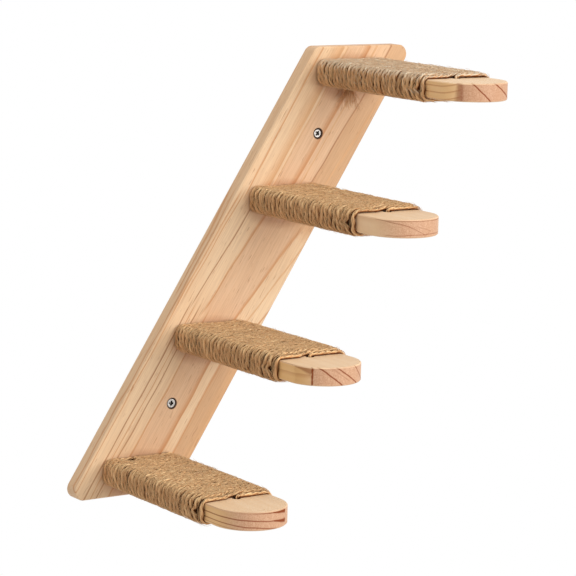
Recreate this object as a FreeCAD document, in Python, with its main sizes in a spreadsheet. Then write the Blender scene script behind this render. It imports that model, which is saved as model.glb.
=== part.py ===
import FreeCAD, Part
import Sketcher
import math
import os

# Wall-mounted cat ladder: a leaning backboard carries four horizontal planks, each
# wound with jute cord up to a bare rounded nose.
# Origin: midway between the two wall screws, on the back of the board.
# +X right, +Y into the wall, +Z up.  Lengths are in millimetres, angles in degrees.

Vector = FreeCAD.Vector

SIZES = [
    ("board_width", 104.5, "square across the leaning edges"),
    ("board_lean", 32.6, "angle of the long edges from upright"),
    ("board_thickness", 18.0, "pine board"),
    ("board_corner", 10.0, "radius of the four corners"),
    ("board_easing", 1.2, "chamfer of the front and back arrises"),
    ("step_width", 74.5, "plank, across the grain"),
    ("step_thickness", 18.0, "plank"),
    ("wrap_length", 182.0, "wound part of the step, from the board"),
    ("nose_straight", 18.75, "bare part of the step before its half circle"),
    ("wrap_easing", 3.0, "rounding of the plank's arrises under the cord"),
    ("nose_easing", 1.0, "chamfer of the bare nose's arrises"),
    ("end_margin", 26.3, "middle of an outer step to the board's end"),
    ("rise_low", 130.5, "lowest step to the next"),
    ("rise_middle", 136.0, "second step to the third"),
    ("rise_top", 127.5, "third step to the highest"),
    ("end_step_shift", 2.6, "outer steps, from the board's centre line inwards"),
    ("cord_diameter", 4.5, "jute cord, pulled tight"),
    ("cord_clearance", 0.25, "between the cord and the wood"),
    ("cord_loops", 20, "whole loops on each step, before the last half loop"),
    ("cord_sides", 6, "facets round the cord"),
    ("cord_bends", 2, "bends that turn the cord through a quarter turn"),
    ("tail_hole_diameter", 8.5, "drilled for each tail of the cord"),
    ("first_hole_inset", 5.5, "middle of the first tail's hole, from the board"),
    ("wall_screw_spacing", 318.0, "between the wall screws, along the board"),
    ("wall_screw_length", 70.0, "over the head"),
    ("wall_screw_thread", 42.0, "threaded part with the point"),
    ("wall_screw_diameter", 5.0, "over the thread"),
    ("wall_screw_shank", 3.7, "diameter of the plain part under the head"),
    ("wall_screw_head", 9.4, "diameter"),
    ("wall_screw_sink", 1.05, "head below the face of the board"),
    ("wall_hole_clearance", 0.25, "round the wall screw in the board"),
    ("dowel_diameter", 8.0, "beech dowel, two in each step"),
    ("dowel_length", 30.0, "over both ends"),
    ("dowel_in_board", 12.0, "part of the dowel inside the board"),
    ("dowel_spacing", 40.0, "between the two dowels of a step"),
    ("dowel_clearance", 0.05, "glue line round the dowel"),
    ("dowel_spare", 1.0, "holes beyond the dowel's ends"),
    ("seat_clearance", 0.05, "under a countersunk head"),
    ("countersink_angle", 90.0, "of heads and their seats"),
    ("recess_width", 1.3, "arm of the cross recess"),
    ("recess_share", 0.56, "cross recess over the head's diameter"),
    ("recess_depth", 2.0, "cross recess"),
]

STEPS = ["bottom", "lower", "upper", "top"]

BOARD_HEIGHT = "(2 * Sizes.end_margin + Sizes.rise_low + Sizes.rise_middle + Sizes.rise_top)"
HEIGHT = {"bottom": "-" + BOARD_HEIGHT + " / 2 + Sizes.end_margin"}
HEIGHT["lower"] = HEIGHT["bottom"] + " + Sizes.rise_low"
HEIGHT["upper"] = HEIGHT["lower"] + " + Sizes.rise_middle"
HEIGHT["top"] = HEIGHT["upper"] + " + Sizes.rise_top"
SHIFT = {"bottom": " + Sizes.end_step_shift", "lower": "", "upper": "", "top": " - Sizes.end_step_shift"}
ACROSS = {step: "(" + HEIGHT[step] + ") * tan(Sizes.board_lean)" + SHIFT[step] for step in STEPS}

doc = FreeCAD.newDocument("cat_ladder")
sheet = doc.addObject("Spreadsheet::Sheet", "Sizes")
for row, (alias, value, meaning) in enumerate(SIZES, start=1):
    sheet.set("A%d" % row, meaning)
    sheet.set("B%d" % row, str(value))
    sheet.setAlias("B%d" % row, alias)
doc.recompute()


def size(alias):
    return float(sheet.get(alias))


# ---------------------------------------------------------------- sketch helpers

def new_body(name):
    body = doc.addObject("PartDesign::Body", name)
    body.Label = name
    return body


def new_sketch(body, plane, name, offset=None):
    """A sketch on one of the body's own planes, moved along its normal by an expression."""
    origin_plane = [f for f in body.Origin.OriginFeatures if f.Role == plane][0]
    sketch = body.newObject("Sketcher::SketchObject", name)
    sketch.AttachmentSupport = [(origin_plane, "")]
    sketch.MapMode = "FlatFace"
    if offset:
        sketch.setExpression("AttachmentOffset.Base.z", offset)
    return sketch


def add_line(sketch, start, end):
    return sketch.addGeometry(Part.LineSegment(Vector(*start, 0), Vector(*end, 0)), False)


def constrain(sketch, kind, *where, to=None):
    """Adds a constraint and binds its value to an expression on the sheet."""
    if to is None:
        sketch.addConstraint(Sketcher.Constraint(kind, *where))
        return
    index = sketch.addConstraint(Sketcher.Constraint(kind, *where, 1.0))
    sketch.setExpression("Constraints[%d]" % index, to)


def join_loop(sketch, lines):
    for one, following in zip(lines, lines[1:] + lines[:1]):
        constrain(sketch, "Coincident", one, 2, following, 1)


def add_circles(sketch, centres, diameter):
    """Circles of one diameter whose centres are pairs of expressions."""
    for across, up in centres:
        circle = sketch.addGeometry(Part.Circle(Vector(0, 0, 0), Vector(0, 0, 1), 1.0), False)
        constrain(sketch, "DistanceX", -1, 1, circle, 3, to=across)
        constrain(sketch, "DistanceY", -1, 1, circle, 3, to=up)
        constrain(sketch, "Diameter", circle, to=diameter)


def add_rectangle(sketch, left, right, bottom, top):
    """A rectangle with its four sides at expressions measured from the sketch's origin."""
    lines = [
        add_line(sketch, (-1, -1), (1, -1)),
        add_line(sketch, (1, -1), (1, 1)),
        add_line(sketch, (1, 1), (-1, 1)),
        add_line(sketch, (-1, 1), (-1, -1)),
    ]
    join_loop(sketch, lines)
    for line, kind in zip(lines, ["Horizontal", "Vertical"] * 2):
        constrain(sketch, kind, line)
    constrain(sketch, "DistanceX", -1, 1, lines[0], 1, to=left)
    constrain(sketch, "DistanceX", -1, 1, lines[1], 1, to=right)
    constrain(sketch, "DistanceY", -1, 1, lines[0], 1, to=bottom)
    constrain(sketch, "DistanceY", -1, 1, lines[2], 1, to=top)


def add_feature(body, kind, name, sketch, **expressions):
    feature = body.newObject("PartDesign::" + kind, name)
    feature.Profile = sketch
    for prop, expression in expressions.items():
        feature.setExpression(prop, expression)
    return feature


def ease_edges(body, base, kind, name, amount, chosen):
    """A Fillet or Chamfer on those edges of the base feature that the test picks."""
    doc.recompute()
    names = ["Edge%d" % i for i, edge in enumerate(base.Shape.Edges, start=1) if chosen(edge)]
    easing = body.newObject("PartDesign::" + kind, name)
    easing.Base = (base, names)
    easing.setExpression({"Fillet": "Radius", "Chamfer": "Size"}[kind], amount)
    return easing


def add_dowel_holes(body, name, sketch, depth, forward):
    """Blind holes a little deeper than the dowels, cut towards the wall or forward."""
    bore = add_feature(body, "Pocket", name, sketch, Length=depth + " + Sizes.dowel_spare")
    bore.Reversed = forward


# ---------------------------------------------------------------- backboard

def wall_screw_place(sign):
    """Across and up: a wall screw's place on the board's centre line."""
    along = sign + "Sizes.wall_screw_spacing / 2"
    return along + " * sin(Sizes.board_lean)", along + " * cos(Sizes.board_lean)"


def make_backboard():
    body = new_body("backboard")
    outline = new_sketch(body, "XZ_Plane", "board_outline")
    lines = [
        add_line(outline, (-180, -220), (-80, -220)),
        add_line(outline, (-80, -220), (180, 220)),
        add_line(outline, (180, 220), (80, 220)),
        add_line(outline, (80, 220), (-180, -220)),
    ]
    join_loop(outline, lines)
    constrain(outline, "Horizontal", lines[0])
    constrain(outline, "Horizontal", lines[2])
    constrain(outline, "Parallel", lines[1], lines[3])
    constrain(outline, "Symmetric", lines[0], 1, lines[2], 1, -1, 1)
    constrain(outline, "DistanceX", lines[0], 1, lines[0], 2, to="Sizes.board_width / cos(Sizes.board_lean)")
    constrain(outline, "DistanceY", lines[1], 1, lines[1], 2, to=BOARD_HEIGHT)
    constrain(outline, "DistanceX", lines[1], 1, lines[1], 2, to=BOARD_HEIGHT + " * tan(Sizes.board_lean)")
    slab = add_feature(body, "Pad", "board_slab", outline, Length="Sizes.board_thickness")
    thickness = size("board_thickness")

    def through_edge(edge):
        return abs(edge.BoundBox.YLength - thickness) < 1e-6

    corners = ease_edges(body, slab, "Fillet", "board_corners", "Sizes.board_corner", through_edge)

    def face_edge(edge):
        return edge.BoundBox.YLength < 1e-6

    ease_edges(body, corners, "Chamfer", "board_arrises", "Sizes.board_easing", face_edge)

    wall_places = new_sketch(body, "XZ_Plane", "wall_hole_places", "Sizes.board_thickness")
    bore = "Sizes.wall_screw_diameter + 2 * Sizes.wall_hole_clearance"
    add_circles(wall_places, [wall_screw_place(sign) for sign in ("", "-")], bore)
    doc.recompute()
    hole = body.newObject("PartDesign::Hole", "wall_holes")
    hole.Profile = wall_places
    doc.recompute()
    hole.ThreadType = "None"
    hole.DepthType = "ThroughAll"
    hole.HoleCutType = "Countersink"
    hole.setExpression("Diameter", bore)
    hole.setExpression(
        "HoleCutDiameter",
        "Sizes.wall_screw_head + 2 * (Sizes.wall_screw_sink + Sizes.seat_clearance)"
        " * tan(Sizes.countersink_angle / 2)",
    )
    hole.setExpression("HoleCutCountersinkAngle", "Sizes.countersink_angle")

    dowel_places = new_sketch(body, "XZ_Plane", "dowel_hole_places", "Sizes.board_thickness")
    add_circles(
        dowel_places,
        [
            (ACROSS[step] + side + "Sizes.dowel_spacing / 2", HEIGHT[step])
            for step in STEPS
            for side in (" - ", " + ")
        ],
        "Sizes.dowel_diameter + 2 * Sizes.dowel_clearance",
    )
    add_dowel_holes(body, "dowel_holes", dowel_places, "Sizes.dowel_in_board", False)
    return body


# ---------------------------------------------------------------- steps

def place_on_board(part, step, aside=""):
    part.setExpression("Placement.Base.x", ACROSS[step] + aside)
    part.setExpression("Placement.Base.y", "-Sizes.board_thickness")
    part.setExpression("Placement.Base.z", HEIGHT[step])


def add_rounded_section(sketch, width, height, radius):
    """A centred rectangle whose corners are quarter circles, sized by expressions."""
    hw, hh, r = 30.0, 8.0, 2.0
    lines = [
        add_line(sketch, (-hw + r, -hh), (hw - r, -hh)),
        add_line(sketch, (hw, -hh + r), (hw, hh - r)),
        add_line(sketch, (hw - r, hh), (-hw + r, hh)),
        add_line(sketch, (-hw, hh - r), (-hw, -hh + r)),
    ]
    middles = [(hw - r, -hh + r), (hw - r, hh - r), (-hw + r, hh - r), (-hw + r, -hh + r)]
    arcs = []
    for quarter, (x, y) in enumerate(middles):
        circle = Part.Circle(Vector(x, y, 0), Vector(0, 0, 1), r)
        start = math.radians(90 * (quarter - 1))
        arcs.append(sketch.addGeometry(Part.ArcOfCircle(circle, start, start + math.pi / 2), False))
    for line, arc, following in zip(lines, arcs, lines[1:] + lines[:1]):
        constrain(sketch, "Tangent", line, 2, arc, 1)
        constrain(sketch, "Tangent", arc, 2, following, 1)
    for arc in arcs[1:]:
        constrain(sketch, "Equal", arcs[0], arc)
    constrain(sketch, "Horizontal", lines[2])
    constrain(sketch, "Vertical", lines[3])
    constrain(sketch, "Symmetric", lines[0], 1, lines[0], 2, -2)
    constrain(sketch, "Symmetric", lines[1], 1, lines[1], 2, -1)
    constrain(sketch, "Radius", arcs[0], to=radius)
    constrain(sketch, "DistanceX", lines[3], 1, lines[1], 1, to=width)
    constrain(sketch, "DistanceY", lines[0], 1, lines[2], 1, to=height)


def add_nose_outline(sketch):
    """The bare end in plan: straight sides from the last loop, then a half circle."""
    half, root, bend = 30.0, -180.0, -200.0
    back = add_line(sketch, (half, root), (-half, root))
    left = add_line(sketch, (-half, root), (-half, bend))
    circle = Part.Circle(Vector(0, bend, 0), Vector(0, 0, 1), half)
    arc = sketch.addGeometry(Part.ArcOfCircle(circle, math.pi, 2 * math.pi), False)
    right = add_line(sketch, (half, bend), (half, root))
    constrain(sketch, "Coincident", back, 2, left, 1)
    constrain(sketch, "Tangent", left, 2, arc, 1)
    constrain(sketch, "Tangent", arc, 2, right, 1)
    constrain(sketch, "Coincident", right, 2, back, 1)
    constrain(sketch, "Horizontal", back)
    constrain(sketch, "Vertical", left)
    constrain(sketch, "Vertical", right)
    constrain(sketch, "PointOnObject", arc, 3, -2)
    constrain(sketch, "DistanceX", left, 1, right, 2, to="Sizes.step_width")
    constrain(sketch, "DistanceY", back, 1, -1, 1, to="Sizes.wrap_length")
    constrain(sketch, "DistanceY", arc, 3, -1, 1, to="Sizes.wrap_length + Sizes.nose_straight")


def cord_bend_radius():
    """Radius of the cord's centre line where it goes round an eased arris."""
    return size("wrap_easing") + size("cord_clearance") + size("cord_diameter") / 2


TAIL_DEPTH = "Sizes.wrap_easing + Sizes.cord_diameter + Sizes.cord_clearance"
TAIL_HOLES = {
    "under": ("-Sizes.first_hole_inset", "-Sizes.step_thickness / 2"),
    "top": ("-Sizes.wrap_length + Sizes.cord_diameter / 2", "Sizes.step_thickness / 2"),
}


def make_plank(step):
    body = new_body(step + "_step_plank")
    section = new_sketch(body, "XZ_Plane", step + "_wound_section")
    add_rounded_section(section, "Sizes.step_width", "Sizes.step_thickness", "Sizes.wrap_easing")
    add_feature(body, "Pad", step + "_wound_part", section, Length="Sizes.wrap_length")

    outline = new_sketch(body, "XY_Plane", step + "_nose_outline", "-Sizes.step_thickness / 2")
    add_nose_outline(outline)
    nose = add_feature(body, "Pad", step + "_nose", outline, Length="Sizes.step_thickness")
    nose.Refine = False
    doc.recompute()
    half = size("step_thickness") / 2
    root = -size("wrap_length")

    def nose_arris(edge):
        box = edge.BoundBox
        flat = box.ZLength < 1e-6 and abs(abs(box.ZMin) - half) < 1e-6
        return flat and box.YMax < root + 1e-6 and box.YLength > 1e-6

    ease_edges(body, nose, "Chamfer", step + "_nose_arrises", "Sizes.nose_easing", nose_arris)

    for side, (hole_at, face_at) in TAIL_HOLES.items():
        name = step + "_" + side
        circle = new_sketch(body, "XY_Plane", name + "_tail_place", face_at)
        add_circles(circle, [("0", hole_at)], "Sizes.tail_hole_diameter")
        pocket = add_feature(body, "Pocket", name + "_tail_hole", circle, Length=TAIL_DEPTH)
        pocket.Reversed = side == "under"

    places = new_sketch(body, "XZ_Plane", step + "_dowel_hole_places")
    add_circles(
        places,
        [(sign + "Sizes.dowel_spacing / 2", "0") for sign in ("-", "")],
        "Sizes.dowel_diameter + 2 * Sizes.dowel_clearance",
    )
    add_dowel_holes(body, step + "_dowel_holes", places, "Sizes.dowel_length - Sizes.dowel_in_board", True)
    place_on_board(body, step)
    return body


# ---------------------------------------------------------------- cord windings

def winding_route():
    """Corner points of the cord's centre line on one step, with the bends still square.

    The tail comes down out of its hole under the plank, near the board.  The cord runs
    round the plank with a steady advance, and its other tail goes down into the hole in
    the top, at the nose.
    """
    off = size("cord_clearance") + size("cord_diameter") / 2
    half_width = size("step_width") / 2 + off
    half_height = size("step_thickness") / 2 + off
    tail_end = size("step_thickness") / 2 - size("wrap_easing") - size("cord_diameter")
    first = -size("first_hole_inset")
    last = -size("wrap_length") + size("cord_diameter") / 2
    flat = [(0.0, -half_height)]
    turn = [(half_width, -half_height), (half_width, half_height), (-half_width, half_height)]
    turn.append((-half_width, -half_height))
    for _ in range(int(size("cord_loops"))):
        flat.extend(turn)
    flat.extend(turn[:2])
    flat.append((0.0, half_height))
    steps = [math.dist(a, b) for a, b in zip(flat, flat[1:])]
    gone = 0.0
    corners = []
    for (x, z), leg in zip(flat, [0.0] + steps):
        gone += leg
        corners.append(Vector(x, first + (last - first) * gone / sum(steps), z))
    return [Vector(0, first, -tail_end)] + corners + [Vector(0, last, tail_end)]


def eased_route(corners, radius, bends):
    """Replaces each square corner by short straight runs that touch the bend's circle."""
    points = [corners[0]]
    for before, corner, after in zip(corners, corners[1:], corners[2:]):
        back = (before - corner).normalize()
        on = (after - corner).normalize()
        turn = math.pi - back.getAngle(on)
        reach = radius * math.tan(turn / 2)
        start = corner + back * reach
        middle = corner + (back + on).normalize() * (radius / math.cos(turn / 2))
        out = (start - middle) / radius
        ahead = -back
        part = turn / bends
        for k in range(bends):
            angle = part * (k + 0.5)
            ray = out * math.cos(angle) + ahead * math.sin(angle)
            points.append(middle + ray * (radius / math.cos(part / 2)))
    points.append(corners[-1])
    return points


def faceted_tube(points, radius, sides):
    """One closed solid along straight runs, mitred where they meet, all faces flat."""
    along = [(b - a).normalize() for a, b in zip(points, points[1:])]
    across = Vector(0, 1, 0) - along[0] * along[0].y
    across.normalize()
    upright = along[0].cross(across)
    turns = [2 * math.pi * (k + 0.5) / sides for k in range(sides)]
    ring = [points[0] + across * (radius * math.cos(t)) + upright * (radius * math.sin(t)) for t in turns]
    rings = [ring]
    for k, direction in enumerate(along):
        following = along[min(k + 1, len(along) - 1)]
        mitre = direction + following
        target = points[k + 1]
        ring = [p + direction * ((target - p).dot(mitre) / direction.dot(mitre)) for p in ring]
        rings.append(ring)
    faces = []
    for one, two in zip(rings, rings[1:]):
        for k in range(sides):
            n = (k + 1) % sides
            faces.append(Part.Face(Part.makePolygon([one[k], one[n], two[n], two[k], one[k]])))
    for ring in (rings[0], rings[-1]):
        faces.append(Part.Face(Part.makePolygon(ring + ring[:1])))
    shell = Part.Shell(faces)
    shell.sewShape()
    solid = Part.Solid(Part.Shell(shell.Faces))
    if solid.Volume < 0:
        solid.reverse()
    return solid


def least_gap(points, diameter, loop):
    """Smallest clear distance between runs half a loop to two loops apart, and the whole length."""
    samples = []
    gone = 0.0
    for a, b in zip(points, points[1:]):
        length = a.distanceToPoint(b)
        pieces = max(1, round(length / diameter))
        samples.extend((a + (b - a) * (k / pieces), gone + length * k / pieces) for k in range(pieces))
        gone += length
    least = math.inf
    for k, (p, at) in enumerate(samples):
        for q, there in samples[k + 1:]:
            if there - at > 2 * loop:
                break
            if there - at > loop / 2:
                least = min(least, p.distanceToPoint(q))
    return least - diameter, gone


def make_winding(step, solid):
    winding = doc.addObject("Part::Feature", step + "_cord_winding")
    winding.Label = step + "_cord_winding"
    winding.Shape = solid.copy()
    place_on_board(winding, step)
    return winding


# ---------------------------------------------------------------- dowels and wall screws

def make_dowel(step, side, word):
    """A plain dowel across the joint between the board and a step."""
    body = new_body("%s_step_dowel_%s" % (step, word))
    end = new_sketch(body, "XZ_Plane", body.Label + "_end", "-Sizes.dowel_in_board")
    add_circles(end, [("0", "0")], "Sizes.dowel_diameter")
    add_feature(body, "Pad", body.Label + "_length", end, Length="Sizes.dowel_length")
    place_on_board(body, step, side + "Sizes.dowel_spacing / 2")
    return body


def make_wall_screw(name, sign):
    """A countersunk wood screw along +Y with the flat of its head at its own origin.

    The thread is left as a cylinder over its crests.
    """
    body = new_body(name)
    head = "Sizes.wall_screw_head / 2"
    shank = "Sizes.wall_screw_shank / 2"
    crest = "Sizes.wall_screw_diameter / 2"
    profile = new_sketch(body, "XY_Plane", name + "_profile")
    lines = [
        add_line(profile, (0, 0), (4, 0)),
        add_line(profile, (4, 0), (2, 2)),
        add_line(profile, (2, 2), (2, 30)),
        add_line(profile, (2, 30), (3, 30)),
        add_line(profile, (3, 30), (3, 60)),
        add_line(profile, (3, 60), (0, 65)),
        add_line(profile, (0, 65), (0, 0)),
    ]
    join_loop(profile, lines)
    constrain(profile, "Coincident", lines[0], 1, -1, 1)
    constrain(profile, "Horizontal", lines[0])
    constrain(profile, "Vertical", lines[2])
    constrain(profile, "Horizontal", lines[3])
    constrain(profile, "Vertical", lines[4])
    constrain(profile, "Vertical", lines[6])
    constrain(profile, "DistanceX", lines[0], 1, lines[0], 2, to=head)
    constrain(profile, "DistanceX", -1, 1, lines[2], 1, to=shank)
    constrain(profile, "DistanceX", -1, 1, lines[4], 1, to=crest)
    constrain(
        profile, "DistanceY", lines[1], 1, lines[1], 2,
        to="(" + head + " - " + shank + ") / tan(Sizes.countersink_angle / 2)",
    )
    constrain(profile, "DistanceY", lines[3], 1, lines[6], 1, to="Sizes.wall_screw_thread")
    constrain(profile, "DistanceY", lines[5], 1, lines[5], 2, to="2 * " + crest)
    constrain(profile, "DistanceY", lines[6], 2, lines[6], 1, to="Sizes.wall_screw_length")
    turned_shape = add_feature(body, "Revolution", name + "_turned", profile)
    turned_shape.ReferenceAxis = (profile, ["V_Axis"])
    turned_shape.Angle = 360.0

    arm = new_sketch(body, "XZ_Plane", name + "_recess_arm")
    reach = "Sizes.wall_screw_head * Sizes.recess_share / 2"
    add_rectangle(arm, "-" + reach, reach, "-Sizes.recess_width / 2", "Sizes.recess_width / 2")
    slot = add_feature(body, "Pocket", name + "_recess_slot", arm, Length="Sizes.recess_depth")
    cross = body.newObject("PartDesign::PolarPattern", name + "_cross_recess")
    cross.Originals = [slot]
    cross.Axis = (arm, ["N_Axis"])
    cross.Angle = 180.0
    cross.Occurrences = 2
    body.Tip = cross

    across, up = wall_screw_place(sign)
    body.setExpression("Placement.Base.x", across)
    body.setExpression("Placement.Base.y", "-Sizes.board_thickness + Sizes.wall_screw_sink")
    body.setExpression("Placement.Base.z", up)
    return body


# ---------------------------------------------------------------- build, check and write

parts = [make_backboard()]
parts.extend(make_plank(step) for step in STEPS)

diameter = size("cord_diameter")
route = eased_route(winding_route(), cord_bend_radius(), int(size("cord_bends")))
winding_solid = faceted_tube(route, diameter / 2, int(size("cord_sides")))
loop_length = 2 * (size("step_width") + size("step_thickness"))
gap, cord_length = least_gap(route, diameter, loop_length)
print("cord: length %.0f mm, bend radius %.2f mm, least gap to itself %.2f mm" % (
    cord_length, cord_bend_radius(), gap))
parts.extend(make_winding(step, winding_solid) for step in STEPS)

parts.extend(
    make_dowel(step, side, word) for step in STEPS for side, word in ((" - ", "left"), (" + ", "right"))
)
parts.append(make_wall_screw("upper_wall_screw", ""))
parts.append(make_wall_screw("lower_wall_screw", "-"))

doc.recompute()
for item in doc.Objects:
    for trouble in ("Invalid", "Error"):
        if trouble in item.State:
            raise RuntimeError("%s is %s" % (item.Label, trouble))
    if item.TypeId == "Sketcher::SketchObject" and not item.FullyConstrained:
        raise RuntimeError(item.Label + " can still move")
for part in parts:
    if part.Shape.isNull() or not part.Shape.isValid() or len(part.Shape.Solids) != 1:
        raise RuntimeError(part.Label + " isn't one sound solid")

os.makedirs("parts", exist_ok=True)
for part in parts:
    part.Shape.exportStep("parts/%s.step" % part.Label)
    box = part.Shape.BoundBox
    print("%-26s %9.0f mm3  X %7.1f..%6.1f  Y %7.1f..%6.1f  Z %7.1f..%6.1f" % (
        part.Label, part.Shape.Volume, box.XMin, box.XMax, box.YMin, box.YMax, box.ZMin, box.ZMax))
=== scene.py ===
import math

import bpy
import numpy as np
from mathutils import Matrix, Vector


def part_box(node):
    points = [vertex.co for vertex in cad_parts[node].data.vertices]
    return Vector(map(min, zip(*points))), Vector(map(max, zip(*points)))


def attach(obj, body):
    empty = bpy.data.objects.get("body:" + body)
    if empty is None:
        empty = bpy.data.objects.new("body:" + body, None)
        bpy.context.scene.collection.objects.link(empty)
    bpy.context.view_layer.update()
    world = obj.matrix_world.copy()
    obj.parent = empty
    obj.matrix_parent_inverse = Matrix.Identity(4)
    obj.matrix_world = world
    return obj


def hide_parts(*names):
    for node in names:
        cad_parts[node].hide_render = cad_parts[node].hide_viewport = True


# Wall-mounted cat ladder.  Metres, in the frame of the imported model: origin on the
# back of the board midway between the wall screws, +X right, +Y into the wall, +Z up.

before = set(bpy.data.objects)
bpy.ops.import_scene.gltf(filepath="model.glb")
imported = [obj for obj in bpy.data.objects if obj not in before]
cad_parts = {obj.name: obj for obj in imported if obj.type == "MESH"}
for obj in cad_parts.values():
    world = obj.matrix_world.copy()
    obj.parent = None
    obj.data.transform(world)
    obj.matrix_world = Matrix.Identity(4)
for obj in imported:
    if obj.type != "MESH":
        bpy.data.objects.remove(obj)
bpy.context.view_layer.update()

rng = np.random.default_rng(7144)


# ---------------------------------------------------------------- sizes

MM = 0.001

STEPS = ["bottom", "lower", "upper", "top"]

BOARD_LEAN = math.radians(32.6)
BOARD_WIDTH = 104.5 * MM
BOARD_THICKNESS = 18 * MM
STEP_WIDTH = 74.5 * MM
STEP_THICKNESS = 18 * MM
STEP_SPACING = 140 * MM         # along the board

WRAP_LENGTH = 182 * MM          # along the step, from the board
WRAP_ROUNDING = 3 * MM          # of the wood under the cord
TURNS = 28
CORD_PROUD = 4.7 * MM           # from the wood to the crest of the cord
CORD_BREADTH = 6.6 * MM         # along the step, where the cord is squashed by its neighbours
CORD_LAY = 26 * MM              # length in which the plies go round once
PLIES = 3

# each wall screw's head: how far its cross recess is turned, and its radius
SCREW_HEADS = {"upper": (math.radians(38), 4.1 * MM), "lower": (math.radians(12), 4.5 * MM)}


def root_of(step):
    """The middle of the end of a step's plank that stands on the board."""
    low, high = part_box(step + "_step_plank")
    return (low.x + high.x) / 2, high.y, (low.z + high.z) / 2


# ---------------------------------------------------------------- colours

def srgb(r, g, b):
    """A colour as a picture shows it, 0 to 255, in the linear values that nodes take."""
    shares = (r / 255, g / 255, b / 255)
    return tuple(c / 12.92 if c <= 0.04045 else ((c + 0.055) / 1.055) ** 2.4 for c in shares)


PINE_YELLOW = srgb(243, 212, 173)
PINE_PINK = srgb(234, 196, 158)
PINE_BAND = srgb(222, 174, 126)
PINE_TAN = srgb(216, 174, 132)
PINE_ORANGE = srgb(204, 142, 90)
PINE_LINE = srgb(152, 90, 44)
ROOT_SHADE = srgb(166, 106, 66)
SEAT_PAINTED_SHADE = srgb(62, 38, 22)
STEP_PALE = srgb(235, 203, 165)
STEP_WARM = srgb(223, 183, 138)
STEP_LINE = srgb(176, 118, 78)
STEP_SIDE = srgb(249, 218, 97)
END_PALE = srgb(218, 174, 140)
END_DEEP = srgb(190, 140, 106)
END_LINE = srgb(136, 66, 34)
CORD_PAINTED_SHADE = srgb(96, 58, 32)
HOLE_PAINTED_SHADE = srgb(60, 32, 20)
BEECH_PALE = srgb(222, 184, 140)
BEECH_WARM = srgb(200, 156, 110)
JUTE_DARK = srgb(150, 88, 46)
JUTE_MIDDLE = srgb(222, 160, 104)
JUTE_LIGHT = srgb(254, 208, 152)
JUTE_PAINTED_LIGHT = srgb(255, 221, 167)
JUTE_TOP_PAINTED_LIGHT = srgb(255, 240, 212)
JUTE_DEEP = srgb(96, 44, 12)
JUTE_CUT_SHADE = srgb(44, 14, 6)

# these are in linear values already
LEFT_PAINTED_LIGHT = (1.13, 1.08, 1.06)
JUTE_SHEEN = (1.0, 0.85, 0.68)
STEEL_DULL = (0.28, 0.26, 0.24)
STEEL_BRIGHT = (0.62, 0.59, 0.56)
RECESS_PAINTED_SHADE = (0.02, 0.014, 0.01)
LAMP_WHITE = (1.0, 0.98, 0.96)
AMBIENT_WHITE = (1.0, 0.985, 0.96)


# ---------------------------------------------------------------- node helpers

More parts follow.
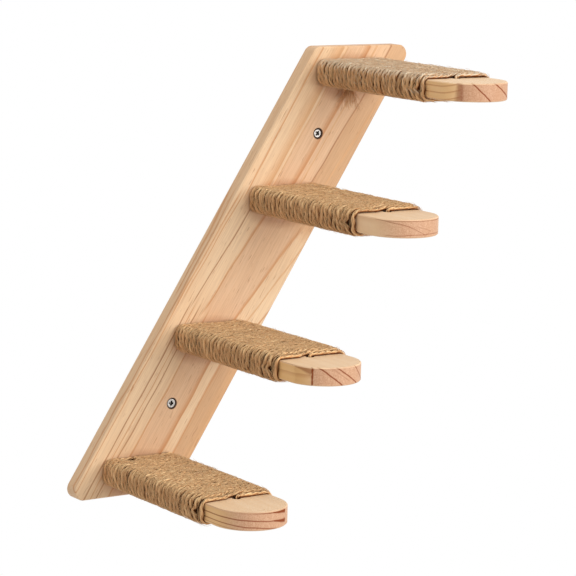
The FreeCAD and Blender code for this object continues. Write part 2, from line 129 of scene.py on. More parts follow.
class Nodes:
    """The node tree of a material or world, with short calls for the nodes that repeat."""

    def __init__(self, owner, out="OutputMaterial"):
        self.owner = owner
        owner.use_nodes = True
        self.tree = owner.node_tree
        self.tree.nodes.clear()
        self.out = self.add(out)

    def add(self, kind, **settings):
        node = self.tree.nodes.new("ShaderNode" + kind)
        for key, value in settings.items():
            setattr(node, key, value)
        return node

    def link(self, source, target):
        self.tree.links.new(source, target)

    def feed(self, socket, value):
        """Links an output, or sets a plain value."""
        if isinstance(value, bpy.types.NodeSocket):
            self.link(value, socket)
        elif isinstance(value, tuple) and socket.type == "RGBA":
            socket.default_value = (*value, 1)
        else:
            socket.default_value = value

    def here(self):
        return self.add("TexCoord").outputs["Object"]

    def attribute(self, name, output):
        return self.add("Attribute", attribute_name=name).outputs[output]

    def split(self, vector):
        """A vector's three components."""
        node = self.add("SeparateXYZ")
        self.link(vector, node.inputs[0])
        return node.outputs

    def normal(self):
        """The three components of the surface's direction."""
        return self.split(self.add("NewGeometry").outputs["Normal"])

    def maths(self, operation, a, b=0.0, clamp=False):
        node = self.add("Math", operation=operation, use_clamp=clamp)
        self.feed(node.inputs[0], a)
        self.feed(node.inputs[1], b)
        return node.outputs[0]

    def plus(self, a, b):
        return self.maths("ADD", a, b)

    def times(self, first, *others):
        product = first
        for factor in others:
            product = self.maths("MULTIPLY", product, factor)
        return product

    def length(self, vector):
        node = self.add("VectorMath", operation="LENGTH")
        self.link(vector, node.inputs[0])
        return node.outputs["Value"]

    def dot(self, vector, fixed):
        node = self.add("VectorMath", operation="DOT_PRODUCT")
        self.link(vector, node.inputs[0])
        node.inputs[1].default_value = fixed
        return node.outputs["Value"]

    def place(self, vector, rotation=(0, 0, 0), scale=(1, 1, 1), shift=(0, 0, 0)):
        """The vector scaled, then turned, then shifted."""
        node = self.add("Mapping")
        self.feed(node.inputs["Vector"], vector)
        self.feed(node.inputs["Rotation"], rotation)
        self.feed(node.inputs["Scale"], scale)
        self.feed(node.inputs["Location"], shift)
        return node.outputs[0]

    def noise(self, vector, scale, detail=2.0, roughness=0.5):
        node = self.add("TexNoise")
        self.feed(node.inputs["Vector"], vector)
        self.feed(node.inputs["Scale"], scale)
        self.feed(node.inputs["Detail"], detail)
        self.feed(node.inputs["Roughness"], roughness)
        return node.outputs["Fac"]

    def streaks(self, grain, slow, scale, detail=2.0, roughness=0.5):
        """Noise that changes more slowly along the grain, which runs along Z."""
        return self.noise(self.place(grain, scale=(1, 1, slow)), scale, detail, roughness)

    def sway(self, noise, amount):
        """Noise from 0 to 1 as a swing to both sides of 0."""
        return self.times(self.plus(noise, -0.5), amount)

    def ramp(self, value, stops):
        """A ramp through stops, each a place from 0 to 1 with a colour or a grey value."""
        node = self.add("ValToRGB")
        self.feed(node.inputs[0], value)
        elements = node.color_ramp.elements
        while len(elements) < len(stops):
            elements.new(0.5)
        for element, (at, colour) in zip(elements, stops):
            element.position = at
            element.color = (*colour, 1) if isinstance(colour, tuple) else (colour,) * 3 + (1,)
        return node.outputs[0]

    def mix(self, share, a, b, blend="MIX"):
        node = self.add("Mix", data_type="RGBA", blend_type=blend)
        self.feed(node.inputs[0], share)
        self.feed(node.inputs[6], a)
        self.feed(node.inputs[7], b)
        return node.outputs[2]

    def bump(self, height, strength, distance):
        node = self.add("Bump")
        self.feed(node.inputs["Height"], height)
        self.feed(node.inputs["Strength"], strength)
        self.feed(node.inputs["Distance"], distance)
        return node.outputs[0]

    def shader(self, kind, **inputs):
        """A shader's output; an input's spaces are written as underscores."""
        node = self.add(kind)
        for key, value in inputs.items():
            self.feed(node.inputs[key.replace("_", " ")], value)
        return node.outputs[0]

    def blend(self, share, a, b):
        """A mix of two shaders."""
        node = self.add("MixShader")
        for socket, source in zip(node.inputs, (share, a, b)):
            self.link(source, socket)
        return node.outputs[0]

    def finish(self, surface):
        self.link(surface, self.out.inputs[0])
        return self.owner


def new_material(name):
    return Nodes(bpy.data.materials.new(name))


# ---------------------------------------------------------------- pine

WOOD_ROUGHNESS = 0.5
WOOD_GLOSS = 0.35

# the board's years
YEARS_WAVE = 9 * MM             # how far they sway across the board, in long waves
YEARS_RIPPLE = 2.6 * MM         # and in short ones
YEARS_TILT = 0.45               # how far they move across for each length into the board

# Each year is (place, soft side, sharp side, its colour, colour of the wood after it), with
# the lengths in millimetres from the board's left edge.
LOW_YEARS = [
    (1.6, 1.0, 0.6, PINE_ORANGE, PINE_YELLOW),
    (15.0, 1.5, 0.6, PINE_LINE, PINE_YELLOW),
    (21.0, 1.0, 0.6, PINE_ORANGE, PINE_YELLOW),
    (27.0, 1.4, 0.6, PINE_LINE, PINE_YELLOW),
    (39.0, 1.4, 0.7, PINE_ORANGE, PINE_PINK),
    (69.0, 6.5, 0.9, PINE_ORANGE, PINE_YELLOW),
    (82.0, 2.6, 0.8, PINE_ORANGE, PINE_TAN),
    (103.0, 12.0, 1.0, PINE_BAND, PINE_TAN),
]
MIDDLE_YEARS = [
    (1.4, 0.9, 0.6, PINE_ORANGE, PINE_YELLOW),
    (4.2, 0.9, 0.6, PINE_ORANGE, PINE_YELLOW),
    (17.0, 1.3, 0.6, PINE_LINE, PINE_YELLOW),
    (33.0, 2.4, 0.8, PINE_ORANGE, PINE_PINK),
    (68.0, 3.0, 1.4, PINE_ORANGE, PINE_YELLOW),
    (80.0, 1.6, 1.0, PINE_BAND, PINE_YELLOW),
    (94.0, 1.6, 1.0, PINE_ORANGE, PINE_YELLOW),
]
HIGH_YEARS = [
    (9.0, 1.8, 0.8, PINE_ORANGE, PINE_YELLOW),
    (30.0, 13.0, 0.8, PINE_BAND, PINE_YELLOW),
    (34.0, 1.0, 0.7, PINE_BAND, PINE_PINK),
    (53.0, 5.0, 0.8, PINE_ORANGE, PINE_PINK),
    (58.0, 1.2, 0.8, PINE_BAND, PINE_PINK),
    (67.0, 1.0, 0.6, PINE_LINE, PINE_TAN),
    (80.0, 1.5, 1.0, PINE_BAND, PINE_TAN),
]
# Each stretch of the board from the bottom up is (years, the share of the width from which
# they fan out to the right, the place along the board where that begins, its amount, its bend).
BOARD_STRETCHES = [
    (LOW_YEARS, 0.0, -0.25, 0.0, 1.0),
    (MIDDLE_YEARS, 0.0, -0.07, 0.36, 1.0),
    (HIGH_YEARS, 0.42, 0.07, 0.5, 0.4),
]

BACK_SKIN = 1 * MM              # what lies nearer to the wall counts as the board's back
ROOT_SHADE_WIDE = 52 * MM       # the painted shade round a step's root is an ellipse
ROOT_SHADE_TALL = 27 * MM
ROOT_SHADE_DROP = 6 * MM        # of its middle below the step's
SEAT_SHADE_SPAN = 10 * MM           # the radius at the end of the ramp of the painted shade in a screw's seat
SEAT_SHADE_STOPS = [(0.56, 1.0), (0.64, 0.0)]
SEAT_SHADE_DEPTH = 8 * MM           # from the back, where the painted shade in a screw's seat ends

# painted shade on the steps, under the cord and in the hole for its tail
CORD_SHADE_MARGIN = 5 * MM           # from the end of the painted shade to the winding's
CORD_SHADE_STRENGTH = 0.85
TAIL_HOLE_AT = WRAP_LENGTH - 2.25 * MM      # from the board to the hole in the top
TAIL_HOLE_SHADE_RADIUS = 4.4 * MM      # radius
TAIL_HOLE_BELOW = 0.1 * MM      # from the top to the painted shade in the hole
TAIL_HOLE_FLOOR = 1.5 * MM      # from the underside to the painted shade in the hole

# How each step's grain runs.  side is (lean in degrees, spacing, first place) of the years
# on its long sides, bold their strength and tone how yellow the sides are.  change is the
# range of the surface's slant over which side grain gives way to end grain.  Each stroke is
# a year on the nose, ((x0, z0, x1, z1, half width at either end), strength).  Lengths are
# in millimetres from the plank's middle.
GRAIN = {
    "bottom": dict(side=(90, 7.4, 1.6), bold=0.0, tone=0.8, change=(0.1, 0.75), strokes=[
        ((-37.5, 8.4, 4, 7.6, 0.8, 1.0), 0.75),
        ((4, 7.6, 20.8, 6.8, 1.0, 3.0), 0.95),
        ((-37.5, 2.2, 5, -1.0, 0.8, 0.9), 0.75),
        ((5, -1.0, 20.8, -2.6, 0.9, 3.0), 0.95),
        ((-37.5, -3.2, 8, -8.6, 0.7, 0.9), 0.7),
        ((-37.5, -6.6, -10, -9.5, 0.5, 0.5), 0.4),
    ]),
    "lower": dict(side=(97, 15.0, 5.5), bold=0.4, tone=0.95, change=(0.60, 0.68), strokes=[
        ((-36.4, 0, -28.2, 0, 18, 20), 0.16),
        ((-37.2, 8.6, -28.6, 4.5, 0.8, 4.4), 0.6),
        ((-28.2, 9.5, -28.2, -9.5, 0.8, 0.8), 0.9),
        ((-24.3, 9, -1.6, -9, 0.9, 0.9), 0.9),
        ((-8.5, 9, 18, -9, 0.9, 0.9), 0.85),
        ((13.5, 9, 30.2, -9, 0.8, 0.8), 0.75),
        ((-14, 9, 6, -5, 1.6, 0.6), 0.25),
    ]),
    "upper": dict(side=(60, 24.0, -11.0), bold=0.2, tone=0.15, change=(0.2, 0.85), strokes=[
        ((-36, 8, -14, 2, 0.7, 0.6), 0.5),
        ((-14, 2, 2, -6, 0.6, 0.5), 0.5),
        ((-30, -6.4, 25, -5.6, 0.5, 0.7), 0.5),
        ((-30, 7.2, 33, 7.6, 0.5, 0.7), 0.5),
        ((-6, 2, 10, -3, 0.6, 0.5), 0.35),
        ((10, -3, 2, -8, 0.5, 0.5), 0.35),
    ]),
    "top": dict(side=(119, 5.6, 0.0), bold=0.7, tone=0.75, change=(0.55, 0.66), strokes=[
        ((-29.4, 0, 37, 0, 20, 20), 0.09),
        ((-29.4, 9.5, -29.4, -9.5, 2.4, 3.6), 0.55),
        ((-21.1, 9, -2.1, -9, 0.9, 0.9), 0.9),
        ((1.9, 9, 31.3, -9, 1.0, 1.0), 0.9),
    ]),
}


def wood_fibres(n, grain):
    """Fine and broad streaks along the grain, each from 0 to 1."""
    return n.streaks(grain, 0.02, 1100.0, 3.0, 0.65), n.streaks(grain, 0.03, 170.0)


def wood_finish(n, colour, fine, broad, roughness=WOOD_ROUGHNESS, gloss=WOOD_GLOSS):
    height = n.plus(n.times(fine, 0.5), n.times(broad, 0.5))
    return n.finish(n.shader(
        "BsdfPrincipled", Base_Color=colour, Roughness=roughness, Specular_IOR_Level=gloss,
        Normal=n.bump(height, 0.10, 0.5 * MM)))


def years_across(n, share, years):
    """The board's colours at shares of its width, as a ramp through its years."""
    width = BOARD_WIDTH / MM
    ground = PINE_YELLOW
    stops = [(0.0, ground)]
    for at, rise, fall, line, following in years:
        stops += [((at - rise) / width, ground), (at / width, line), ((at + fall) / width, following)]
        ground = following
    return n.ramp(share, stops)


def fanned_years(n, share, along, years, centre, begin, fan, bend):
    """The years of one stretch of the board, which fan out to the right as they rise."""
    rise = n.maths("MAXIMUM", n.times(n.plus(along, -begin), 1 / STEP_SPACING), 0.0)
    rise = n.times(n.maths("POWER", rise, bend), fan)
    right = n.maths("MAXIMUM", n.plus(share, -centre), 0.0)
    right = n.maths("DIVIDE", right, n.plus(rise, 1.0))
    left = n.maths("MINIMUM", share, centre)
    return years_across(n, n.plus(left, right), years)


def root_shade(n, here, step):
    """Strength of the painted shade on the board round a step's root, where the step shades it."""
    x, _, z = root_of(step)
    wide, tall = ROOT_SHADE_WIDE, ROOT_SHADE_TALL
    ellipse = n.place(here, scale=(1 / wide, 0, 1 / tall),
                      shift=(-x / wide, 0, -(z - ROOT_SHADE_DROP) / tall))
    return n.ramp(n.length(ellipse), [(0.7, 0.45), (1.0, 0.0)])


def painted_seat_shade(n, here, word):
    """Painted shade in a wall screw's countersunk seat: 1 on the seat, and 0 away from it."""
    low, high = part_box(word + "_wall_screw")
    middle = (low + high) / 2
    away = n.length(n.place(here, shift=(-middle.x, 0, -middle.z), scale=(1, 0, 1)))
    return n.ramp(n.times(away, 1 / SEAT_SHADE_SPAN), SEAT_SHADE_STOPS)


def board_pine():
    """Pine with thin brown years on the left and broad orange ones on the right."""
    n = new_material("pine_board")
    here = n.here()
    grain = n.place(here, rotation=(0, -BOARD_LEAN, 0))
    across, depth, along = n.split(grain)
    place = n.plus(across, n.sway(n.streaks(grain, 0.3, 22.0), YEARS_WAVE))
    place = n.plus(place, n.sway(n.streaks(grain, 0.2, 90.0), YEARS_RIPPLE))
    place = n.plus(place, n.times(n.plus(depth, BOARD_THICKNESS), YEARS_TILT))
    share = n.plus(n.maths("DIVIDE", place, BOARD_WIDTH), 0.5)
    low, middle, high = (fanned_years(n, share, along, *stretch) for stretch in BOARD_STRETCHES)

    # the back has the middle stretch's years all the way
    back = n.maths("GREATER_THAN", depth, -BACK_SKIN)
    height = n.plus(n.times(along, 1 / STEP_SPACING), 0.5)
    colour = n.mix(n.maths("MAXIMUM", n.ramp(height, [(0.0, 0.0), (0.12, 1.0)]), back), low, middle)
    upper = n.times(n.ramp(height, [(0.88, 0.0), (1.0, 1.0)]), n.maths("LESS_THAN", depth, -BACK_SKIN))
    colour = n.mix(upper, colour, high)

    fine, broad = wood_fibres(n, grain)
    cloud = n.streaks(grain, 0.3, 40.0, 3.0, 0.6)
    fleck = n.streaks(grain, 0.12, 620.0, 1.0)
    colour = n.mix(n.ramp(cloud, [(0.42, 0.0), (0.72, 0.3)]), colour, PINE_BAND)
    colour = n.mix(n.ramp(broad, [(0.40, 0.0), (0.70, 0.16)]), colour, PINE_BAND)
    colour = n.mix(n.ramp(fine, [(0.35, 0.22), (0.6, 0.0)]), colour, PINE_LINE)
    colour = n.mix(n.ramp(fleck, [(0.27, 0.4), (0.33, 0.0)]), colour, PINE_LINE)

    facing = n.normal()[1]
    edge = n.ramp(n.maths("ABSOLUTE", facing), [(0.5, 0.22), (0.9, 0.0)])
    colour = n.mix(edge, colour, PINE_ORANGE)
    front = n.maths("LESS_THAN", facing, -0.5)
    # painted shade on the board's front round each step's root
    for step in STEPS:
        colour = n.mix(n.times(root_shade(n, here, step), front), colour, ROOT_SHADE)
    # painted shade in the screws' countersunk seats, on the board's front half only
    seats = n.maths("MAXIMUM", *(painted_seat_shade(n, here, word) for word in SCREW_HEADS))
    seat_shade = n.times(seats, n.maths("LESS_THAN", depth, -SEAT_SHADE_DEPTH))
    colour = n.mix(seat_shade, colour, SEAT_PAINTED_SHADE)
    return wood_finish(n, colour, fine, broad)


def sheets(n, x, z, lean, spacing, first, wobble):
    """Strength of the years that run as nearly flat sheets along a plank.

    lean turns them in the plank's section, and first is one sheet's distance above the
    plank's middle.  Each year deepens slowly, then stops at once.
    """
    lean = math.radians(lean)
    spacing, first = spacing * MM, first * MM
    years = n.plus(n.times(x, math.cos(lean) / spacing), n.times(z, math.sin(lean) / spacing))
    years = n.plus(years, n.plus(wobble, -first / spacing))
    return n.ramp(n.maths("FRACT", years), [(0.72, 0.0), (0.95, 1.0), (0.985, 0.9), (1.0, 0.0)])


def stroke(n, here, x0, z0, x1, z1, w0, w1):
    """Strength of a year on end grain that runs from one point to another.

    w0 and w1 are its half widths at its two ends.
    """
    length = math.hypot(x1 - x0, z1 - z0)
    ux, uz = (x1 - x0) / length, (z1 - z0) / length
    share = n.plus(n.dot(here, (ux / length / MM, 0, uz / length / MM)), -(x0 * ux + z0 * uz) / length)
    away = n.maths("ABSOLUTE", n.plus(n.dot(here, (-uz / MM, 0, ux / MM)), x0 * uz - z0 * ux))
    width = n.plus(n.times(share, w1 - w0), w0)
    near = n.maths("SUBTRACT", 1.0, n.maths("DIVIDE", away, width), clamp=True)
    # the ramp's middle half is the stroke's length
    ends = n.ramp(n.plus(n.times(share, 0.5), 0.25),
                  [(0.22, 0.0), (0.25, 1.0), (0.75, 1.0), (0.78, 0.0)])
    return n.times(n.ramp(near, [(0.0, 0.0), (0.6, 1.0)]), ends)


def shaken(n, here, wave):
    """The place moved a little to and fro, so that strokes on it aren't ruled lines."""
    move = n.add("CombineXYZ")
    n.link(n.sway(n.noise(here, 300.0), 1.2 * MM), move.inputs[0])
    n.link(n.sway(wave, 2.4 * MM), move.inputs[2])
    moved = n.add("VectorMath", operation="ADD")
    n.link(here, moved.inputs[0])
    n.link(move.outputs[0], moved.inputs[1])
    return moved.outputs[0]


def step_pine(step, side, bold, tone, change, strokes):
    """A plank's pine, with what GRAIN gives for its step."""
    n = new_material("pine_" + step)
    root_x, root_y, root_z = root_of(step)
    here = n.place(n.here(), shift=(-root_x, -root_y, -root_z))
    grain = n.place(here, rotation=(math.radians(90), 0, 0))
    x, y, z = n.split(here)
    nx, ny, nz = n.normal()
    ends = n.ramp(n.maths("ABSOLUTE", ny), [(change[0], 0.0), (change[1], 1.0)])
    upright = n.ramp(n.maths("ABSOLUTE", nz), [(0.5, 1.0), (0.9, 0.0)])
    left = n.ramp(n.times(nx, -1.0), [(0.6, 0.0), (0.95, 1.0)])
    wave = n.noise(n.place(here, scale=(1, 0.25, 1)), 45.0)
    fine, broad = wood_fibres(n, grain)

    colour = n.mix(n.ramp(broad, [(0.35, 0.0), (0.75, 0.45)]), STEP_PALE, STEP_WARM)
    side_years = sheets(n, x, z, *side, n.sway(wave, 0.35))
    colour = n.mix(n.times(side_years, bold, upright), colour, STEP_LINE)
    colour = n.mix(n.times(left, tone), colour, n.mix(0.5, colour, STEP_SIDE, "MULTIPLY"))
    # painted light: the steps' left sides, which the lamps light less, are made lighter
    colour = n.mix(left, colour, LEFT_PAINTED_LIGHT, "MULTIPLY")

    pores = n.ramp(n.noise(here, 800.0, 3.0, 0.65), [(0.35, 0.9), (0.65, 0.0)])
    colour = n.mix(n.times(ends, upright), colour, n.mix(pores, END_PALE, END_DEEP))
    gloss = WOOD_GLOSS
    shaky = shaken(n, here, wave)
    for line, strength in strokes:
        mark = n.times(stroke(n, shaky, *line), strength, upright)
        colour = n.mix(mark, colour, END_LINE)
        gloss = n.times(gloss, n.maths("SUBTRACT", 1.0, mark))

    # painted shade: the wood under the cord is dark where it shows between the turns, and so is the
    # drilled hole for its tail
    under = n.maths("GREATER_THAN", y, CORD_SHADE_MARGIN - WRAP_LENGTH)
    colour = n.mix(n.times(under, CORD_SHADE_STRENGTH), colour, CORD_PAINTED_SHADE)
    away = n.length(n.place(here, shift=(0, TAIL_HOLE_AT, 0), scale=(1, 1, 0)))
    inside = n.times(
        n.maths("LESS_THAN", away, TAIL_HOLE_SHADE_RADIUS),
        n.maths("LESS_THAN", z, STEP_THICKNESS / 2 - TAIL_HOLE_BELOW),
        n.maths("GREATER_THAN", z, TAIL_HOLE_FLOOR - STEP_THICKNESS / 2))
    colour = n.mix(inside, colour, HOLE_PAINTED_SHADE)
    return wood_finish(n, colour, fine, broad, gloss=gloss)


# ---------------------------------------------------------------- beech, jute and steel

def beech():
    n = new_material("beech")
    fine, broad = wood_fibres(n, n.place(n.here(), rotation=(math.radians(90), 0, 0)))
    colour = n.mix(n.ramp(broad, [(0.3, 0.0), (0.7, 1.0)]), BEECH_PALE, BEECH_WARM)
    return wood_finish(n, colour, fine, broad, roughness=0.6)


def jute(name, painted_light, share, spots, fuzz):
    """Jute cord, lighter on its upward side as painted light from above, towards the painted_light
    colour by that share.

    spots is the strength of the dark spots there, and fuzz the weight of the sheen there.
    """
    n = new_material(name)
    strand = n.attribute("strand", "Vector")
    crest = n.attribute("crest", "Fac")
    here = n.here()
    fibre = n.noise(n.place(strand, scale=(70, 2.2, 2.2)), 1.0, 3.0, 0.7)
    tone = n.noise(n.place(strand, scale=(25, 0.2, 0.2)), 1.0, 2.0, 0.6)
    patch = n.noise(here, 45.0)
    speck = n.noise(here, 400.0, 2.0, 0.6)
    upward = n.ramp(n.normal()[2], [(0.25, 0.0), (0.85, 1.0)])

    colour = n.ramp(fibre, [(0.28, JUTE_DARK), (0.48, JUTE_MIDDLE), (0.72, JUTE_LIGHT)])
    colour = n.mix(n.ramp(tone, [(0.30, 0.75), (0.47, 0.0)]), colour, JUTE_DARK)
    colour = n.mix(n.ramp(tone, [(0.50, 0.0), (0.68, 0.8)]), colour, JUTE_LIGHT)
    colour = n.mix(n.ramp(patch, [(0.4, 0.0), (0.75, 0.3)]), colour, JUTE_LIGHT)
    # painted highlight on the crests of the plies
    colour = n.mix(n.ramp(crest, [(0.8, 0.0), (1.0, 0.6)]), colour, JUTE_LIGHT)
    # painted light: the upward side is lightened as if lit from above
    colour = n.mix(n.times(upward, share), colour, painted_light)
    # painted shade in the grooves between the plies, less of it on the upward side
    deep = n.times(n.ramp(crest, [(0.15, 0.94), (0.75, 0.0)]), n.ramp(upward, [(0.0, 1.0), (0.9, 0.4)]))
    colour = n.mix(deep, colour, JUTE_DEEP)
    dark = n.times(n.ramp(speck, [(0.36, spots), (0.47, 0.0)]), upward)
    colour = n.mix(dark, colour, JUTE_DARK)
    light = n.times(n.ramp(speck, [(0.52, 0.0), (0.62, 0.75)]), upward)
    colour = n.mix(light, colour, painted_light)
    # painted shade in the cut: where the cord is cut its crest mark lies far below zero
    cut_shade = n.ramp(n.times(crest, -0.5), [(0.6, 0.0), (0.8, 1.0)])
    colour = n.mix(cut_shade, colour, JUTE_CUT_SHADE)

    # the gloss and sheen fade out in the grooves, as painted shade on their reflection
    shine = n.ramp(crest, [(0.2, 0.0), (0.8, 1.0)])
    return n.finish(n.shader(
        "BsdfPrincipled", Base_Color=colour, Roughness=0.85,
        Specular_IOR_Level=n.times(shine, 0.15),
        Sheen_Weight=n.times(shine, n.ramp(upward, [(0.0, 0.3), (1.0, fuzz)])),
        Sheen_Roughness=0.4, Sheen_Tint=JUTE_SHEEN,
        Normal=n.bump(fibre, 0.7, 0.8 * MM)))


def steel():
    n = new_material("steel")
    stain = n.noise(n.here(), 700.0, 3.0, 0.6)
    zinc = n.ramp(stain, [(0.3, STEEL_DULL), (0.7, STEEL_BRIGHT)])
    # painted shade in the cross recess, darker where it is deeper
    sunk = n.ramp(n.attribute("sunk", "Fac"), [(0.05, 0.0), (0.5, 0.94)])
    return n.finish(n.shader(
        "BsdfPrincipled", Base_Color=n.mix(sunk, zinc, RECESS_PAINTED_SHADE), Metallic=1.0,
        Roughness=n.ramp(stain, [(0.2, 0.25), (0.8, 0.45)]),
        Normal=n.bump(stain, 0.1, 0.2 * MM)))


def dress(node, material):
    """Gives a CAD node's object its finish."""
    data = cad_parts[node].data
    data.materials.clear()
    data.materials.append(material)


dress("backboard", board_pine())
beech_material = beech()
steel_material = steel()
# the top step's jute has more painted light on its upward side than the others'
jute_material = jute("jute", JUTE_PAINTED_LIGHT, share=0.8, spots=0.75, fuzz=0.4)
jute_top_material = jute("jute_top", JUTE_TOP_PAINTED_LIGHT, share=0.95, spots=0.35, fuzz=1.0)
for step in STEPS:
    dress(step + "_step_plank", step_pine(step, **GRAIN[step]))
    for word in ("left", "right"):
        dress("%s_step_dowel_%s" % (step, word), beech_material)


# ---------------------------------------------------------------- meshes

def smoothstep(t):
    t = np.clip(t, 0, 1)
    return t * t * (3 - 2 * t)


def smooth_noise(count, spacing, amount):
    """A smooth random line of that many samples with a new value every spacing samples."""
    knots = rng.normal(0, amount, int(count / spacing) + 4)
    at = np.arange(count) / spacing
    low = at.astype(int)
    t = smoothstep(at - low)
    return knots[low] * (1 - t) + knots[low + 1] * t


def ring_faces(first, rows, around):
    """The faces between rows of points, each a closed ring, and the two caps.

    first is the number of the first point.
    """
    row = first + np.arange(rows - 1)[:, None] * around
    here = row + np.arange(around)
    beside = row + (np.arange(around) + 1) % around
    faces = np.stack([here, beside, beside + around, here + around], axis=-1).reshape(-1, 4)
    last = first + (rows - 1) * around
    return faces.tolist(), [list(range(first, first + around))[::-1], list(range(last, last + around))]


def add_piece(name, points, faces, marks, material):
    """A smooth-shaded piece; marks are values that its material reads at each point."""
    mesh = bpy.data.meshes.new(name)
    mesh.from_pydata(points.tolist(), [], faces)
    mesh.polygons.foreach_set("use_smooth", np.ones(len(mesh.polygons), bool))
    for word, values in marks.items():
        kind, field = ("FLOAT_VECTOR", "vector") if values.ndim == 2 else ("FLOAT", "value")
        attribute = mesh.attributes.new(word, kind, "POINT")
        attribute.data.foreach_set(field, values.astype(np.float32).ravel())
    mesh.materials.append(material)
    piece = bpy.data.objects.new(name, mesh)
    bpy.context.scene.collection.objects.link(piece)
    return piece


# ---------------------------------------------------------------- the cord's line

CORD_RISE = CORD_PROUD / 2      # from the wood to the cord's middle
ROOT_GAP = 0.8 * MM             # from the board to the first turn
SAMPLE = 1.5 * MM               # between two points of the line

HALF_W, HALF_H = STEP_WIDTH / 2 + CORD_RISE, STEP_THICKNESS / 2 + CORD_RISE
BEND = WRAP_ROUNDING + CORD_RISE
AROUND = 4 * (HALF_W - BEND) + 4 * (HALF_H - BEND) + 2 * math.pi * BEND
CORNER_SHARE = (HALF_W - BEND / 2) / AROUND      # of the way round at the first corner
FIRST_TURN = -CORD_BREADTH / 2 - ROOT_GAP
LAST_TURN = -WRAP_LENGTH + CORD_BREADTH / 2
PITCH = (LAST_TURN - FIRST_TURN) / (TURNS - 1)

BULGE = 0.5 * MM                # of the cord outwards, half way up the sides
TUCK = 0.8 * MM                 # of the cord inwards, twice what it is at a corner's middle

LEAN_AT, LEAN_RUN = 0.512, 0.06     # shares of the way round where the last loops lean forward
LEANS = (1.0, 0.82, 0.64, 0.46, 0.3, 0.15)      # in pitches, from the last loop back
SLIT_AT, SLIT_RUN = 0.755, 0.014    # shares of the way round
SLIT_SHIFTS = (0.1, -0.75, -0.5, -0.25)         # in pitches, from the last loop back

LAST_LOOP_THIN = 0.24           # share of its thickness that the last loop has lost
# where the last loop starts to change: (turns before TURNS, turns that the change takes)
THINNING, PALING = (1.53, 0.04), (1.55, 0.05)

WANDER = 0.7 * MM               # of the cord along the step
WANDERS_EACH_TURN = 5
HEAVE = 0.22 * MM               # of the cord in and out
HEAVES_EACH_TURN = 7
TAIL_BEND = 0.6 * CORD_PROUD    # radius
TAIL_DEPTHS = (1.5 * MM, 3.0 * MM)      # of the tail's points below its bend


def section_point(share):
    """Point and outward normal of the cord's line round a plank, at shares of its way round.

    It starts under the middle and goes to the right, over the top and down on the left.
    """
    w, h = HALF_W - BEND, HALF_H - BEND
    quarter = math.pi / 2 * BEND
    ends = np.cumsum([w, quarter, 2 * h, quarter, 2 * w, quarter, 2 * h, quarter, w])
    s = (share % 1.0) * ends[-1]
    which = np.searchsorted(ends, s, side="right").clip(0, 8)
    t = s - np.concatenate([[0], ends[:-1]])[which]
    x, z, nx, nz = (np.zeros_like(s) for _ in range(4))
    straights = {0: (0, -HALF_H, 1, 0), 2: (HALF_W, -h, 0, 1), 4: (w, HALF_H, -1, 0),
                 6: (-HALF_W, h, 0, -1), 8: (-w, -HALF_H, 1, 0)}
    for k, (x0, z0, dx, dz) in straights.items():
        here = which == k
        x[here], z[here] = x0 + dx * t[here], z0 + dz * t[here]
        nx[here], nz[here] = dz, -dx
    corners = {1: (w, -h, -90), 3: (w, h, 0), 5: (-w, h, 90), 7: (-w, -h, 180)}
    for k, (cx, cz, begin) in corners.items():
        here = which == k
        angle = math.radians(begin) + t[here] / BEND
        nx[here], nz[here] = np.cos(angle), np.sin(angle)
        x[here], z[here] = cx + BEND * nx[here], cz + BEND * nz[here]
    return x, z, nx, nz


def hug(z, nx, nz):
    """How far the cord stands out beyond its even line: it bulges on the sides, not at corners."""
    return BULGE * nx ** 2 * (1 - (z / HALF_H) ** 2) - TUCK * np.abs(nx * nz)


def turn_advance(turn):
    """How far along the step the cord's line is, in pitches, after that many turns.

    The advance is made under the step.  At the nose the last loop leans forward on the
    left, so that the front edge is straight, and opens a gap to the one before.
    """
    whole = np.floor(turn)
    part = turn - whole
    rising = smoothstep((part - 1 + CORNER_SHARE) / CORNER_SHARE)
    advance = whole + 0.5 * rising - 0.5 + 0.5 * smoothstep(part / CORNER_SHARE)
    lean = smoothstep((part - LEAN_AT) / LEAN_RUN) * (1 - rising)
    for k, share in enumerate(LEANS):
        advance += np.where(whole == TURNS - 2 - k, share, 0) * lean
    # a slit opens beside the last loop, half way down on the left
    slit = np.exp(-((part - SLIT_AT) / SLIT_RUN) ** 2)
    for k, share in enumerate(SLIT_SHIFTS):
        advance += np.where(whole == TURNS - 2 - k, share, 0) * slit
    return advance.clip(0)


def on_last_loop(turn, before, run):
    """0 up to the last loop, and 1 on it."""
    return smoothstep((turn - TURNS + before) / run)


def last_loop_thickness(turn):
    """The cord is pulled thin on its last loop."""
    return 1 - LAST_LOOP_THIN * on_last_loop(turn, *THINNING)


def cord_tail(point, sense):
    """Points and outward directions of a tail that turns into its hole.

    sense is 1 for the tail in the top and -1 for the one in the underside.
    """
    x, y, z = point
    r = TAIL_BEND
    arc = np.linspace(0, math.pi / 2, 5)[1:]
    points = [(x - r * math.sin(t), y, z - sense * r * (1 - math.cos(t))) for t in arc]
    points += [(x - r, y, z - sense * (r + depth)) for depth in TAIL_DEPTHS]
    out = [(-math.sin(t) * sense, 0, math.cos(t) * sense) for t in arc]
    out += [out[-1]] * len(TAIL_DEPTHS)
    return np.array(points), np.array(out)


